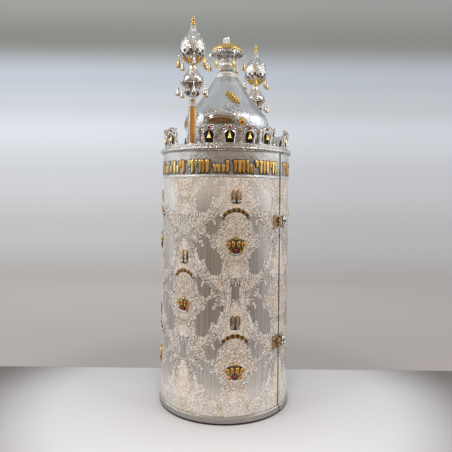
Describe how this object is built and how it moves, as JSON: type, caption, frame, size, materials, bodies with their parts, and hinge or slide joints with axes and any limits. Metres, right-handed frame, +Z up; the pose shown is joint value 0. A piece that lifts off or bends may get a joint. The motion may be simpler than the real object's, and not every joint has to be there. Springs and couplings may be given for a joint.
{
  "type": "torah scroll case",
  "caption": "Upright round silver case for a torah scroll that opens like a book, with an ogee dome, bulbous finials, a pierced gallery and gilt crown ornaments.",
  "frame": {"origin": "on the floor, on the axis of the closed case", "axes": "+Z up; the front seam and its clasps face -Y, the hinges face +Y; the left half, which swings, is on the -X side"},
  "size_m": [0.2948, 0.3037, 0.8234],
  "materials": {
    "polished_silver": "polished silver, lightly worn",
    "embossed_silver": "matt silver sheet embossed with a damask pattern on a ruled ground",
    "gilt": "polished gilding over silver",
    "stained_wood": "stained and waxed wood",
    "black_felt": "black felt"
  },
  "bodies": {
    "right_half": {"right_foot_pad": "black_felt", "right_floor_board": "stained_wood", "right_wall": "stained_wood", "right_top_board": "stained_wood", "right_damask_sheet": "embossed_silver", "right_letter_band": "polished_silver", "right_bottom_ring": "polished_silver", "right_top_ring": "polished_silver", "right_top_plate": "polished_silver", "right_gallery_front": "polished_silver", "right_gallery_back": "polished_silver", "right_dome": "polished_silver", "right_neck": "polished_silver", "right_canopy": "gilt", "right_finial_staff": "polished_silver", "right_finial_lower_bulb": "polished_silver", "right_finial_upper_bulb": "polished_silver", "right_finial_tip": "gilt", "right_crown_upper_front": "gilt", "right_crown_lower_front": "gilt", "right_crown_middle": "gilt", "right_crown_upper_back": "gilt", "right_crown_lower_back": "gilt", "right_upper_hinge_leaf": "polished_silver", "right_lower_hinge_leaf": "polished_silver", "right_upper_clasp": "polished_silver", "right_lower_clasp": "polished_silver", "upper_hinge_pin": "polished_silver", "lower_hinge_pin": "polished_silver"},
    "left_half": {"left_foot_pad": "black_felt", "left_floor_board": "stained_wood", "left_wall": "stained_wood", "left_top_board": "stained_wood", "left_damask_sheet": "embossed_silver", "left_letter_band": "polished_silver", "left_bottom_ring": "polished_silver", "left_top_ring": "polished_silver", "left_top_plate": "polished_silver", "left_gallery_front": "polished_silver", "left_gallery_back": "polished_silver", "left_dome": "polished_silver", "left_neck": "polished_silver", "left_canopy": "gilt", "left_finial_staff": "polished_silver", "left_finial_lower_bulb": "polished_silver", "left_finial_upper_bulb": "polished_silver", "left_finial_tip": "gilt", "left_crown_upper_front": "gilt", "left_crown_lower_front": "gilt", "left_crown_middle": "gilt", "left_crown_upper_back": "gilt", "left_crown_lower_back": "gilt", "left_upper_hinge_leaf": "polished_silver", "left_lower_hinge_leaf": "polished_silver", "left_upper_clasp": "polished_silver", "left_lower_clasp": "polished_silver", "finial_tablets": "polished_silver"}
  },
  "joints": [
    {"name": "case_hinge", "type": "hinge", "parent": "right_half", "child": "left_half", "pos_m": [0, 0.151, 0.2763], "axis": [0, 0, -1], "range_deg": [0, 180]}
  ]
}
